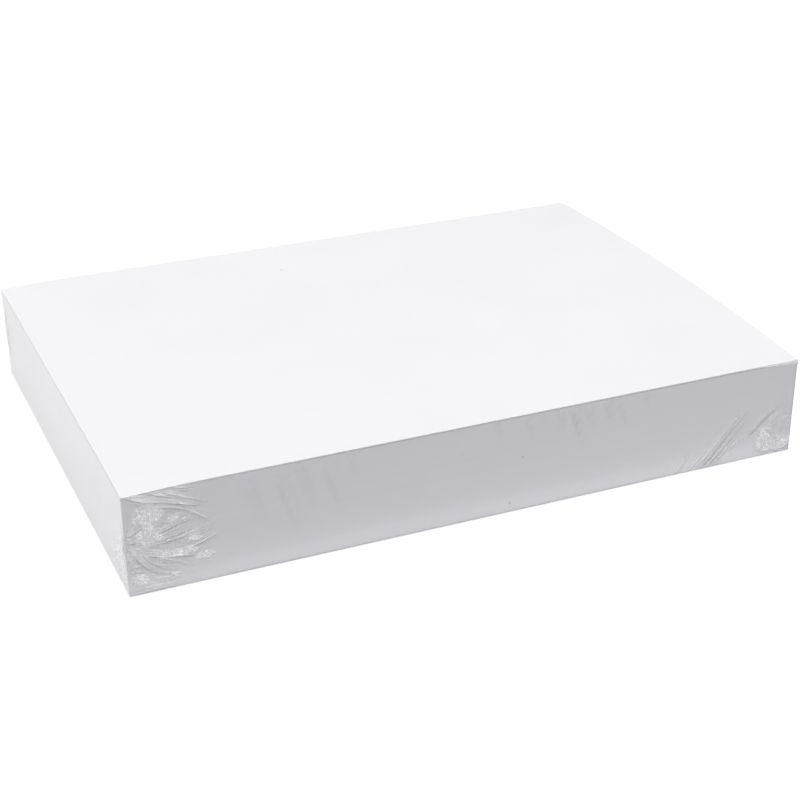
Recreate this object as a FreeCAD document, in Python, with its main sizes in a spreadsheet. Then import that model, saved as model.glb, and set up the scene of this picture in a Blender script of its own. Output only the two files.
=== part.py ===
import FreeCAD, Part
import math
import os
import random
import Sketcher

# A shrink-wrapped pack of A3 drawing paper, lying flat. It has two pieces: the squared-up
# stack of sheets, and the clear film bag shrunk tight round it. The long sides run along X
# and the short sides along Y. The origin is at the middle of the footprint, on the surface
# that the pack lies on.

# Driving dimensions, in mm and degrees. Positions on a wall count from the wall's own corner.
DIMENSIONS = {
    "SheetLength": 420.0,
    "SheetWidth": 297.0,
    "SheetCount": 250,
    "SheetThickness": 0.248,
    "StackLean": 1.1,        # the lowest sheet lies this far towards +X of the highest
    "ArchRise": 4.6,         # crown of the right-hand end above that end's two corners
    "ArchStart": 185.0,      # from the left-hand end to where the sheets begin to arch
    "CornerReach": 30.0,     # diagonal length over which a left-hand top corner bends down
    "CornerDrop": 1.2,       # and how much lower it ends
    "FilmThickness": 0.15,
    "SealLeft": 34.5,        # height of the trim seal on the left-hand short side
    "SealRight": 9.5,        # and on the right-hand short side
    "SealBead": 0.3,         # how proud of the film the seal's bead stands
    "FoldBite": 0.6,         # how deep the keel of a fold reaches into the wall behind it
    "EarReach": 13.0,        # how far the dog-ear tab lies along the left-hand side
    "EarAngle": 8.0,         # its angle off that side
    "VentDiameter": 1.0,
}

ARCH_STATIONS = 4            # cross-sections over which the arch grows, as the square of the way
CUT_MARGIN = 6.0             # how far a cutting shape reaches past what it cuts
VENT_LENGTH = 8.0            # of the pin that makes a vent hole, through the film and its wall

# A fold is widest and highest at its crest. The folds of a plain gather, which follow no
# special lay, and the creases of crumpled film are drawn evenly from these ranges.
CREST_SHARE = 0.35           # where the crest lies, as a share of the way from the root
FAN_FOLDS = 7                # folds in a plain gather
FAN_SPREAD = 52.0            # half the angle that the gather fills, in degrees
FAN_STRAY = (-5.0, 5.0)      # degrees by which one fold strays from an even spread
FAN_START = (1.5, 5.0)       # distance from the corner of the pack to a fold's root
FAN_LENGTH = (0.65, 1.0)     # a fold's length, as a share of the gather's reach
FAN_WIDTH = (1.8, 3.0)
FOLD_LIMITS = (0.04, 0.97)   # a fold ends within these shares of the height of its side
CRUMPLE_WIDTH = (1.2, 2.2)
LOOSE_CREST = (0.5, 1.0)     # how proud the folds of a gather or crumple stand

doc = FreeCAD.newDocument("DrawingPaperPack")
sheet = doc.addObject("Spreadsheet::Sheet", "Sheet")
for row, (alias, value) in enumerate(DIMENSIONS.items(), start=1):
    sheet.set(f"A{row}", alias)
    sheet.set(f"B{row}", str(value))
    sheet.setAlias(f"B{row}", alias)
doc.recompute()

HEIGHT = "Sheet.SheetCount * Sheet.SheetThickness"
LEAN = f"atan(Sheet.StackLean / ({HEIGHT}))"


def size(alias):
    """One driving dimension, as the sheet now holds it."""
    return float(sheet.get(alias))


# ------------------------------------------------------------------ sketch helpers
def own_plane(body, role):
    return next(feature for feature in body.Origin.OriginFeatures if feature.Role == role)


def new_sketch(body, name, role, axis=(0, 0, 1), angle=0.0):
    """A sketch on one of the body's own origin planes, turned about one of its own axes."""
    sketch = body.newObject("Sketcher::SketchObject", name)
    sketch.AttachmentSupport = [(own_plane(body, role), "")]
    sketch.MapMode = "FlatFace"
    turn = FreeCAD.Rotation(FreeCAD.Vector(*axis), angle)
    sketch.AttachmentOffset = FreeCAD.Placement(FreeCAD.Vector(0, 0, 0), turn)
    return sketch


def draw_lines(sketch, points, closed=True):
    """Straight lines joined end to end, from a rough shape that the constraints then size."""
    count = len(points) if closed else len(points) - 1
    for index in range(count):
        start = FreeCAD.Vector(*points[index], 0)
        end = FreeCAD.Vector(*points[(index + 1) % len(points)], 0)
        sketch.addGeometry(Part.LineSegment(start, end), False)
    joints = count if closed else count - 1
    for index in range(joints):
        sketch.addConstraint(Sketcher.Constraint("Coincident", index, 2, (index + 1) % count, 1))


def pin_point(sketch, name, geometry, end, across, up):
    """Ties one end point to the sketch's origin by two driven lengths."""
    place = sketch.getPoint(geometry, end)
    for kind, key, value, formula in (
        ("DistanceX", "Across", place.x, across),
        ("DistanceY", "Up", place.y, up),
    ):
        number = sketch.addConstraint(Sketcher.Constraint(kind, -1, 1, geometry, end, value))
        sketch.renameConstraint(number, name + key)
        sketch.setExpression(f"Constraints.{name}{key}", formula)


# ------------------------------------------------------------------ the form of the stack
def cross_section(body, name, station, out, rise=None):
    """The pack's cross-section on a plane that leans with the stack, its top edge flat or
    rising in an arc."""
    sketch = new_sketch(body, name, "YZ_Plane", axis=(1, 0, 0), angle=-1.0)
    sketch.setExpression("AttachmentOffset.Rotation.Angle", f"-{LEAN}")
    sketch.setExpression("AttachmentOffset.Base.z", f"{station} + Sheet.StackLean / 2")
    half = f"(Sheet.SheetWidth / 2 + {out})"
    foot = f"(Sheet.FilmThickness - {out})"
    head = f"(Sheet.FilmThickness + {HEIGHT} + {out})"
    corners = [(-148.0, 1.0), (148.0, 1.0), (148.0, 62.0), (-148.0, 62.0)]
    draw_lines(sketch, corners[:3] if rise else corners, closed=not rise)
    if rise:
        left_end = FreeCAD.Vector(-148.0, 62.0, 0)
        right_end = FreeCAD.Vector(148.0, 62.0, 0)
        arch = sketch.addGeometry(Part.Arc(right_end, FreeCAD.Vector(0, 66.0, 0), left_end), False)
        side = sketch.addGeometry(Part.LineSegment(left_end, FreeCAD.Vector(-148.0, 1.0, 0)), False)
        # the arc is kept counter-clockwise, so its first point is the right-hand one
        sketch.addConstraint(Sketcher.Constraint("Coincident", 1, 2, arch, 1))
        sketch.addConstraint(Sketcher.Constraint("Coincident", arch, 2, side, 1))
        sketch.addConstraint(Sketcher.Constraint("Coincident", side, 2, 0, 1))
        rim = sketch.addConstraint(Sketcher.Constraint("Radius", arch, 2500.0))
        sketch.renameConstraint(rim, "ArchRadius")
        sketch.setExpression("Constraints.ArchRadius", f"({half} ^ 2 + {rise} ^ 2) / (2 * {rise})")
    pin_point(sketch, "FootLeft", 0, 1, f"-{half}", foot)
    pin_point(sketch, "FootRight", 0, 2, half, foot)
    pin_point(sketch, "HeadRight", 1, 2, half, head)
    pin_point(sketch, "HeadLeft", 3 if rise else 2, 1 if rise else 2, f"-{half}", head)
    return sketch


def bend_corners_down(body, out):
    """Rolls the two left-hand top corners down: a cut above an arc that leaves the top
    tangent, on a plane through the corner's bisector, mirrored to the other corner."""
    profile = new_sketch(body, body.Name + "CornerBend", "XZ_Plane", axis=(0, 1, 0), angle=-135.0)
    profile.setExpression("AttachmentOffset.Base.x", "-(Sheet.SheetLength + Sheet.StackLean) / 2")
    profile.setExpression("AttachmentOffset.Base.z", "Sheet.SheetWidth / 2")
    reach = "Sheet.CornerReach"
    beyond = f"{CUT_MARGIN}"
    top = f"(Sheet.FilmThickness + {HEIGHT} + {out})"
    radius = f"({reach} ^ 2 / (2 * Sheet.CornerDrop) + {out})"
    fall = f"({radius} - sqrt({radius} ^ 2 - ({reach} + {beyond}) ^ 2))"
    draw_lines(profile, [(6.0, 60.0), (6.0, 66.0), (-30.0, 66.0), (-30.0, 62.0)], closed=False)
    tangent_end = FreeCAD.Vector(-30.0, 62.0, 0)
    middle = FreeCAD.Vector(-12.0, 61.6, 0)
    outer_end = FreeCAD.Vector(6.0, 60.0, 0)
    bend = profile.addGeometry(Part.Arc(outer_end, middle, tangent_end), False)
    profile.addConstraint(Sketcher.Constraint("Coincident", bend, 1, 0, 1))
    profile.addConstraint(Sketcher.Constraint("Coincident", bend, 2, 2, 2))
    rim = profile.addConstraint(Sketcher.Constraint("Radius", bend, 375.0))
    profile.renameConstraint(rim, "BendRadius")
    profile.setExpression("Constraints.BendRadius", radius)
    pin_point(profile, "OuterLow", 0, 1, beyond, f"{top} - {fall}")
    pin_point(profile, "OuterHigh", 0, 2, beyond, f"{top} + {beyond}")
    pin_point(profile, "InnerHigh", 1, 2, f"-{reach}", f"{top} + {beyond}")
    pin_point(profile, "InnerLow", 2, 2, f"-{reach}", top)
    bend_cut = body.newObject("PartDesign::Pocket", body.Name + "CornerCut")
    bend_cut.Profile = profile
    bend_cut.SideType = "Symmetric"
    across_corner = f"(2 * ({reach} + {beyond}))"
    bend_cut.setExpression("Length", f"2 * {across_corner}")
    both = body.newObject("PartDesign::Mirrored", body.Name + "BothCorners")
    both.Originals = [bend_cut]
    both.MirrorPlane = (own_plane(body, "XZ_Plane"), [""])
    body.Tip = both


def pack_form(name, label, out):
    """A body with the stack's form, its surface moved outwards by the length `out`."""
    body = doc.addObject("PartDesign::Body", name)
    body.Label = label
    doc.recompute()
    half = f"(Sheet.SheetLength / 2 + {out})"
    flat_end = "(Sheet.ArchStart - Sheet.SheetLength / 2)"
    left = cross_section(body, name + "LeftEnd", f"-{half}", out)
    sections = [cross_section(body, name + "FlatEnd", flat_end, out)]
    for index in range(1, ARCH_STATIONS + 1):
        share = index / ARCH_STATIONS
        station = f"({flat_end} + ({half} - {flat_end}) * {share})"
        rise = f"(Sheet.ArchRise * {share ** 2})"
        sections.append(cross_section(body, f"{name}Arch{index}", station, out, rise))
    loft = body.newObject("PartDesign::AdditiveLoft", name + "Sheets")
    loft.Profile = left
    loft.Sections = sections
    loft.Ruled = True
    doc.recompute()
    bend_corners_down(body, out)
    doc.recompute()
    return body


paper_stack = pack_form("Stack", "paper_stack", "0")
skin = pack_form("Skin", "FilmSkin", "Sheet.FilmThickness")


# ------------------------------------------------------------------ the film's trim seal
def wall_x(side, height):
    """Where a short side of the film stands at a height, `side` being -1 or 1."""
    outer = "(Sheet.SheetLength / 2 + Sheet.FilmThickness)"
    return f"({side} * {outer} + Sheet.StackLean * (0.5 - {height} / ({HEIGHT})))"


def add_trim_seal(body):
    """The bead of the seal, swept round three sides in one plane that falls to the right.
    The fourth side, the near long one, is the film's own fold and has no seal."""
    left_x = wall_x(-1, "Sheet.SealLeft")
    right_x = wall_x(1, "Sheet.SealRight")
    fall = f"atan((Sheet.SealLeft - Sheet.SealRight) / ({right_x} - {left_x}))"
    half = "(Sheet.SheetWidth / 2 + Sheet.FilmThickness)"
    path = new_sketch(body, "SealPath", "XY_Plane", axis=(0, 1, 0), angle=3.0)
    path.setExpression("AttachmentOffset.Rotation.Angle", fall)
    path.setExpression("AttachmentOffset.Base.x", left_x)
    path.setExpression("AttachmentOffset.Base.z", "Sheet.SealLeft")
    run = f"(({right_x} - {left_x}) / cos({fall}))"
    draw_lines(path, [(0.0, -148.0), (0.0, 148.0), (420.0, 148.0), (420.0, -148.0)], closed=False)
    pin_point(path, "NearLeft", 0, 1, "0", f"-{half}")
    pin_point(path, "FarLeft", 0, 2, "0", half)
    pin_point(path, "FarRight", 1, 2, run, half)
    pin_point(path, "NearRight", 2, 2, run, f"-{half}")
    section = new_sketch(body, "SealSection", "XZ_Plane")
    section.setExpression("AttachmentOffset.Base.z", half)
    bead = "Sheet.SealBead"
    draw_lines(section, [(-211.0, 34.0), (-210.0, 33.0), (-209.0, 34.0), (-210.0, 35.0)])
    pin_point(section, "Out", 0, 1, f"{left_x} - {bead}", "Sheet.SealLeft")
    pin_point(section, "Under", 0, 2, left_x, f"Sheet.SealLeft - {bead}")
    pin_point(section, "In", 1, 2, f"{left_x} + {bead}", "Sheet.SealLeft")
    pin_point(section, "Over", 2, 2, left_x, f"Sheet.SealLeft + {bead}")
    doc.recompute()
    seal = body.newObject("PartDesign::AdditivePipe", "TrimSeal")
    seal.Profile = section
    seal.Spine = (path, ["Edge1", "Edge2", "Edge3"])
    seal.Transition = "Right corner"
    body.Tip = seal
    doc.recompute()


add_trim_seal(skin)


# ------------------------------------------------------------------ the film's folds
class Wall:
    """One end of one side of the pack: `across` runs along the side from its corner, `up`
    follows the lean of the stack, and `out` points away from the paper."""

    def __init__(self, side_x, side_y, along_x):
        thickness = size("FilmThickness")
        lean = size("StackLean")
        self.height = size("SheetCount") * size("SheetThickness")
        self.corner = FreeCAD.Vector(
            side_x * (size("SheetLength") / 2 + thickness) + lean / 2,
            side_y * (size("SheetWidth") / 2 + thickness),
            thickness,
        )
        if along_x:
            self.across = FreeCAD.Vector(-side_x, 0, 0)
            self.out = FreeCAD.Vector(0, side_y, 0)
        else:
            self.across = FreeCAD.Vector(0, -side_y, 0)
            self.out = FreeCAD.Vector(side_x, 0, side_x * lean / self.height).normalize()
        self.up = FreeCAD.Vector(-lean / self.height, 0, 1).normalize()

    def point(self, across, share, out):
        """A point by its distance from the corner, its share of the height, and its relief."""
        return self.corner + self.across * across + self.up * (share * self.height) + self.out * out


def fold(wall, root, tip, width, crest, sink):
    """One crease of the film: a ruled loft from a point, through a diamond, to a point. The
    upper half of the diamond stands off the wall and the lower half bites into it."""
    start = wall.point(root[0], root[1], -sink)
    end = wall.point(tip[0], tip[1], -sink)
    run = end - start
    aside = run.cross(wall.out).normalize() * (width / 2)
    middle = start + run * CREST_SHARE
    diamond = Part.makePolygon([
        middle + aside,
        middle + wall.out * crest,
        middle - aside,
        middle - wall.out * size("FoldBite"),
        middle + aside,
    ])
    return Part.makeLoft([Part.Vertex(start), diamond, Part.Vertex(end)], True, True)


def fan(wall, seal_height, reach, seed):
    """A plain gather: folds that spread from where the seal meets the corner."""
    choose = random.Random(seed)
    folds = []
    for index in range(FAN_FOLDS):
        spread = 2 * index / (FAN_FOLDS - 1) - 1
        angle = math.radians(spread * FAN_SPREAD + choose.uniform(*FAN_STRAY))
        length = reach * choose.uniform(*FAN_LENGTH)
        start = choose.uniform(*FAN_START)
        root = (start * math.cos(angle), (seal_height + start * math.sin(angle)) / wall.height)
        rise = (seal_height + length * math.sin(angle)) / wall.height
        lowest, highest = FOLD_LIMITS
        tip = (length * math.cos(angle), min(max(rise, lowest), highest))
        folds.append((root, tip, choose.uniform(*FAN_WIDTH), choose.uniform(*LOOSE_CREST)))
    return folds


def crumple(low, high, count, seed):
    """Short creases that lie every way over a patch between two opposite corners."""
    choose = random.Random(seed)
    folds = []
    for _ in range(count):
        root = (choose.uniform(low[0], high[0]), choose.uniform(low[1], high[1]))
        tip = (choose.uniform(low[0], high[0]), choose.uniform(low[1], high[1]))
        folds.append((root, tip, choose.uniform(*CRUMPLE_WIDTH), choose.uniform(*LOOSE_CREST)))
    return folds


# The near left-hand gather: long folds fall away from the top corner, a fan spreads from the
# end of the seal, and a broad pleat drops from it to the foot of the side.
NEAR_LEFT_FOLDS = [
    ((1.0, 0.98), (42.0, 0.76), 3.2, 1.2),
    ((22.0, 0.85), (48.5, 0.58), 2.6, 0.8),
    ((12.0, 0.98), (40.0, 0.84), 2.4, 0.8),
    ((20.0, 0.97), (47.0, 0.78), 2.4, 0.7),
    ((27.0, 0.99), (45.0, 0.98), 1.2, 0.4),
    ((12.0, 0.52), (39.0, 0.56), 2.4, 1.0),
    ((19.0, 0.45), (48.0, 0.53), 2.4, 0.8),
    ((17.0, 0.58), (38.0, 0.67), 2.2, 0.7),
    ((22.0, 0.36), (50.0, 0.46), 2.8, 0.9),
    ((7.0, 0.40), (42.0, 0.27), 3.6, 1.0),
    ((0.5, 0.56), (27.5, 0.15), 4.4, 1.5),
    ((12.0, 0.37), (37.0, 0.17), 2.4, 0.8),
    ((0.5, 0.61), (11.5, 0.69), 2.0, 0.9),
    ((1.0, 0.37), (9.5, 0.33), 1.6, 0.5),
    ((0.8, 0.31), (10.0, 0.25), 1.6, 0.5),
    ((1.2, 0.25), (10.5, 0.21), 1.6, 0.5),
    ((2.0, 0.20), (11.8, 0.11), 2.0, 0.7),
    ((2.0, 0.07), (25.0, 0.06), 1.2, 0.4),
] + crumple((4.0, 0.66), (20.0, 0.88), 7, seed=4)

# The near right-hand gather: parallel creases climb from the foot towards the corner, one
# deep crease cuts it off, and the film is balled up below that, where the seal ends.
NEAR_RIGHT_FOLDS = [
    ((80.0, 0.03), (71.5, 0.20), 1.8, 0.5),
    ((72.5, 0.02), (57.0, 0.28), 2.2, 0.7),
    ((65.0, 0.01), (33.0, 0.56), 2.8, 1.0),
    ((60.5, 0.02), (33.0, 0.47), 2.6, 1.0),
    ((54.0, 0.05), (29.0, 0.32), 2.2, 0.7),
    ((30.0, 0.27), (10.5, 0.52), 3.2, 1.2),
    ((17.4, 0.44), (17.0, 0.29), 1.8, 0.6),
    ((4.0, 0.42), (8.8, 0.20), 2.0, 0.7),
    ((1.6, 0.42), (1.4, 0.22), 1.2, 0.5),
    ((0.4, 0.15), (14.5, 0.22), 2.6, 1.2),
] + crumple((8.0, 0.07), (28.0, 0.29), 8, seed=9)

GATHERS = [
    ("NearLeftFolds", Wall(-1, -1, True), NEAR_LEFT_FOLDS),
    ("NearRightFolds", Wall(1, -1, True), NEAR_RIGHT_FOLDS),
]
for name, side_x, side_y, along_x, reach, seed in (
    ("LeftSideNearFolds", -1, -1, False, 24.0, 1),
    ("LeftSideFarFolds", -1, 1, False, 34.0, 2),
    ("FarLeftFolds", -1, 1, True, 46.0, 3),
    ("FarRightFolds", 1, 1, True, 44.0, 5),
    ("RightSideFarFolds", 1, 1, False, 36.0, 6),
    ("RightSideNearFolds", 1, -1, False, 38.0, 7),
):
    seal_height = size("SealLeft") if side_x < 0 else size("SealRight")
    wall = Wall(side_x, side_y, along_x)
    GATHERS.append((name, wall, fan(wall, seal_height, reach, seed)))


def add_solid(name, shape):
    feature = doc.addObject("Part::Feature", name)
    feature.Shape = shape
    return feature


def folds_solid(wall, folds, sink):
    pieces = [fold(wall, *crease, sink) for crease in folds]
    return pieces[0].multiFuse(pieces[1:])


def dog_ear(wall):
    """The flat tab of film, two plies thick, left over where the seal ends at the corner. It
    lies along the left-hand side and stands a little off it."""
    ply = size("FilmThickness")
    reach = size("EarReach")
    slope = math.tan(math.radians(size("EarAngle")))
    outline = [(0.0, 0.60), (0.92, 0.48), (1.0, 0.35), (0.56, 0.22), (0.24, 0.15), (0.0, 0.12)]
    corners = [
        wall.point(ply / 2 + share * reach, height, share * reach * slope - ply)
        for share, height in outline
    ]
    face = Part.Face(Part.makePolygon(corners + corners[:1]))
    thick = wall.out * (2 * ply)
    return face.extrude(thick)


outside = [skin]
inside = [paper_stack]
for name, wall, folds in GATHERS:
    outside.append(add_solid(name, folds_solid(wall, folds, 0.0)))
    inside.append(add_solid(name + "Air", folds_solid(wall, folds, size("FilmThickness"))))
outside.append(add_solid("DogEar", dog_ear(Wall(-1, -1, False))))


# ------------------------------------------------------------------ the film's vent holes
def vent(name, share_x, turn, base_y, base_z):
    """A pin hole that let the air out while the film shrank."""
    hole = doc.addObject("Part::Cylinder", name)
    hole.setExpression("Radius", "Sheet.VentDiameter / 2")
    hole.Height = VENT_LENGTH
    hole.Placement = FreeCAD.Placement(FreeCAD.Vector(0, 0, 0), turn)
    hole.setExpression("Placement.Base.x", f"Sheet.SheetLength * {share_x}")
    hole.setExpression("Placement.Base.y", base_y)
    hole.setExpression("Placement.Base.z", base_z)
    return hole


upright = FreeCAD.Rotation()
facing_near = FreeCAD.Rotation(FreeCAD.Vector(1, 0, 0), 90)
on_near_side = f"-Sheet.SheetWidth / 2 + {VENT_LENGTH / 2}"
on_top = f"{HEIGHT} - {VENT_LENGTH / 2}"
inside += [
    vent("TopVent", -0.070, upright, "Sheet.SheetWidth * 0.356", on_top),
    vent("NearVentHigh", -0.035, facing_near, on_near_side, f"{HEIGHT} * 0.725"),
    vent("NearVentMiddle", 0.056, facing_near, on_near_side, f"{HEIGHT} * 0.563"),
    vent("NearVentLow", 0.039, facing_near, on_near_side, f"{HEIGHT} * 0.100"),
]


# ------------------------------------------------------------------ the film as one shell
film_outside = doc.addObject("Part::MultiFuse", "FilmOutside")
film_outside.Shapes = outside
film_inside = doc.addObject("Part::MultiFuse", "FilmInside")
film_inside.Shapes = inside
shrink_film = doc.addObject("Part::Cut", "Film")
shrink_film.Label = "shrink_film"
shrink_film.Base = film_outside
shrink_film.Tool = film_inside
doc.recompute()


# ------------------------------------------------------------------ checks and export
for item in doc.Objects:
    if "Invalid" in item.State or "Error" in item.State:
        raise RuntimeError(f"{item.Name} failed: {item.State}")

os.makedirs("parts", exist_ok=True)
for piece in (paper_stack, shrink_film):
    shape = piece.Shape
    if shape.isNull() or not shape.isValid() or len(shape.Solids) != 1:
        raise RuntimeError(f"{piece.Label} is not one sound solid")
    box = shape.optimalBoundingBox()
    print(piece.Label, round(shape.Volume, 1), "mm3,", len(shape.Faces), "faces,",
          [round(v, 2) for v in (box.XMin, box.XMax, box.YMin, box.YMax, box.ZMin, box.ZMax)])
    shape.exportStep(f"parts/{piece.Label}.step")
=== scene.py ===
"""A shrink-wrapped pack of A3 drawing paper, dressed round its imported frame.

The stack of sheets keeps its own solid and gets a paper material. The film is rebuilt as one
thin sheet that follows the stack: graded grids over its six sides, joined by narrow strips
along the edges, with the folds and crumples of the gathered film worked out as relief on the
walls. The pack's lengths are in mm and its meshes are written in metres. The studio's lamps
and the camera are placed in metres.
"""
import math

import bmesh
import bpy
import numpy as np
from mathutils import Matrix, Vector


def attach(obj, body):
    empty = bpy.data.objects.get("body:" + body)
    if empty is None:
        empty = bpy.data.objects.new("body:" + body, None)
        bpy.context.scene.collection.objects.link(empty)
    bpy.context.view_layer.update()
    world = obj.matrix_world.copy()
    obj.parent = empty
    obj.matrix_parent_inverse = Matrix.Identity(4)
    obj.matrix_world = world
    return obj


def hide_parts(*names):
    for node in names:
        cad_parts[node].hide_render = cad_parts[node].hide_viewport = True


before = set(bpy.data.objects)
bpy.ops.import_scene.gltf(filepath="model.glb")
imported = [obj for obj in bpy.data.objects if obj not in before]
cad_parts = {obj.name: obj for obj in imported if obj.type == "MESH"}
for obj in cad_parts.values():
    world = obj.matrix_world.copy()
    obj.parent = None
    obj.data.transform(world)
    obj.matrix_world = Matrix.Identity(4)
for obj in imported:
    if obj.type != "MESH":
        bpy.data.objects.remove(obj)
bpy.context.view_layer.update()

MM = 0.001
SEED = 20

# ------------------------------------------------------------------ the pack's sizes
SHEET_LENGTH = 420.0
SHEET_WIDTH = 297.0
STACK_HEIGHT = 62.0
STACK_LEAN = 1.1             # the lowest sheet lies this far towards +X of the highest
ARCH_RISE = 4.6              # crown of the right-hand end above that end's corners
ARCH_START = 185.0           # from the left-hand end to where the sheets begin to arch
CORNER_REACH = 30.0          # diagonal length over which a left-hand top corner bends down
CORNER_DROP = 1.2
STACK_FOOT = 0.15            # underside of the lowest sheet
FILM_GAP = 0.25              # clear space between the film and the paper
EDGE_CUT = 0.45              # how far each wall stops short of the pack's sharp edges
SEAL_LEFT = 34.5             # height of the trim seal on the left-hand side
SEAL_RIGHT = 9.5
SEAL_BEAD = 0.12             # how proud of the film the seal stands
SEAL_HALF_WIDTH = 0.5
EAR_ANGLE = 8.0              # degrees between the tab and the left-hand side
EAR_STAND_OFF = 0.4          # between the tab's inner ply and the film, at the corner
EAR_PLY_GAP = 0.35
VENT_RADIUS = 0.5
VENT_RIM = 0.14
NEAR_VENTS = ((-0.035, 0.725), (0.056, 0.563), (0.039, 0.1))     # shares of length and height
TOP_VENT = (-29.4, 105.7)
FILM_FOOT = 0.02             # underside of the film, a hair above the floor

HOLD_REACH = 0.9             # the film's relief fades towards an edge from this far away
TOP_BAND = 0.95              # share of the near side's height above which its rows lie closer
TOP_ROWS = 15
UNMET = 1e9                  # a distance to start a search for the nearest from
PAST_THE_END = 1e4           # a place beyond the end of every side
GATHER_MARGIN = 0.8          # how near the foot a fine crease may come
RIPPLE_HEAD = 61.8           # height at which the near top edge's ripples start
RIPPLE_SLANT = 0.3           # how far they move to the right for each mm that they hang


def top_height(x, y):
    """Height of the paper's top surface over a point, before the film's gap."""
    from_left = x + SHEET_LENGTH / 2 + STACK_LEAN / 2
    share = np.clip((from_left - ARCH_START) / (SHEET_LENGTH - ARCH_START), 0.0, 1.0)
    rise = ARCH_RISE * share ** 2
    half = SHEET_WIDTH / 2
    radius = (half ** 2 + rise ** 2) / (2 * np.maximum(rise, 1e-6))
    across = np.minimum(np.abs(y), half)
    arch = np.sqrt(radius ** 2 - across ** 2) - (radius - rise)
    diagonal = (np.maximum(from_left, 0.0) + half - across) / math.sqrt(2)
    radius_bend = CORNER_REACH ** 2 / (2 * CORNER_DROP)
    inside = np.clip(CORNER_REACH - diagonal, 0.0, None)
    bend = radius_bend - np.sqrt(radius_bend ** 2 - inside ** 2)
    return STACK_FOOT + STACK_HEIGHT + np.where(rise > 1e-6, arch, 0.0) - bend


def lean_at(z):
    """How far the stack's cross-section at a height is shifted along X."""
    return STACK_LEAN * (0.5 - (z - STACK_FOOT) / STACK_HEIGHT)


# ------------------------------------------------------------------ mesh helpers
# Two of these traits are painted: one darkens the film as painted shade where creases face away from the
# light and along edges, and one whitens it as haze and painted light where they face the light.
TRAITS = ("gathered", "creased", "crumpled", "ridged", "milky")


class MeshParts:
    """Collects points and faces of one piece, in mm, and at each point, from 0 to 1, how
    gathered, crumpled and sharply ridged the film is, how dark its painted shade is, and how
    much haze and painted light whiten it."""

    def __init__(self):
        self.points = []
        self.faces = []
        self.traits = {trait: [] for trait in TRAITS}

    def add_points(self, points, **traits):
        """Takes an array of points with their traits and gives back the points' numbers."""
        start = len(self.points)
        shape = points.shape[:-1]
        self.points.extend(points.reshape(-1, 3).tolist())
        for trait in TRAITS:
            values = np.broadcast_to(traits.get(trait, 0.0), shape)
            self.traits[trait].extend(values.reshape(-1).tolist())
        return np.arange(start, len(self.points)).reshape(shape)

    def add_grid(self, index):
        """Quads over a grid of point numbers."""
        quads = np.stack([index[:-1, :-1], index[:-1, 1:], index[1:, 1:], index[1:, :-1]], -1)
        self.faces.extend(quads.reshape(-1, 4).tolist())

    def zip_chains(self, first, second):
        """Triangles between two chains of points that run side by side."""
        where_a = self.shares_along(first)
        where_b = self.shares_along(second)
        a = 0
        b = 0
        while a < len(first) - 1 or b < len(second) - 1:
            step_a = b == len(second) - 1 or (a < len(first) - 1 and where_a[a + 1] <= where_b[b + 1])
            if step_a:
                self.faces.append([int(first[a]), int(second[b]), int(first[a + 1])])
                a += 1
            else:
                self.faces.append([int(first[a]), int(second[b]), int(second[b + 1])])
                b += 1

    def shares_along(self, chain):
        """How far along a chain each of its points lies, from 0 to 1."""
        points = np.array([self.points[i] for i in chain])
        steps = np.linalg.norm(np.diff(points, axis=0), axis=1)
        run = np.concatenate([[0.0], np.cumsum(steps)])
        return run / run[-1]

    def build(self, name):
        """The piece, in metres, with its traits stored at its points."""
        mesh = bpy.data.meshes.new(name)
        mesh.from_pydata((np.array(self.points) * MM).tolist(), [], self.faces)
        mesh.validate()
        for trait, values in self.traits.items():
            mesh.attributes.new(trait, "FLOAT", "POINT").data.foreach_set("value", values)
        piece = bpy.data.objects.new(name, mesh)
        bpy.context.scene.collection.objects.link(piece)
        return piece


def face_outwards(piece):
    """Turns every face of a closed piece to look outwards."""
    work = bmesh.new()
    work.from_mesh(piece.data)
    bmesh.ops.recalc_face_normals(work, faces=work.faces)
    work.to_mesh(piece.data)
    work.free()


def graded(length, fine, fine_step, coarse_step):
    """Distances along a side: fine near its ends, coarse between, with a narrow first and
    last cell so that shading turns only at the very edge."""
    def run(start, end, step):
        count = max(int(round((end - start) / step)), 1)
        return np.linspace(start, end, count, endpoint=False)

    narrow = EDGE_CUT
    pieces = [
        run(0.0, narrow, narrow),
        run(narrow, fine[0], fine_step[0]),
        run(fine[0], length - fine[1], coarse_step),
        run(length - fine[1], length - narrow, fine_step[1]),
        [length - narrow, length],
    ]
    return np.concatenate(pieces)


# ------------------------------------------------------------------ relief of the gathered film
CREST_SHARE = 0.22           # where a fold is highest, as a share of the way along it
TAPER_CURVE = 0.7            # under 1, a fold stays high for longer before it tapers
END_WIDTH = 0.35             # a fold's width at its ends, as a share of its full width
FLANK_CURVE = 1.7            # over 1, a fold's flanks are hollow and its crest is narrow
RIDGE_REACH = 0.45           # how far a sharp fold is whitened to each side of its crest
FACET_TILT = 0.55            # how much the facets of a crumple tilt
FACET_RIDGE = 0.35           # how proud the ridges between them stand, against the facets
RIDGE_WIDTH = 0.6            # how wide those ridges are, in facets
OVERLAP = 0.25               # where creases cross, how much of the lower one is added


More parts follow.
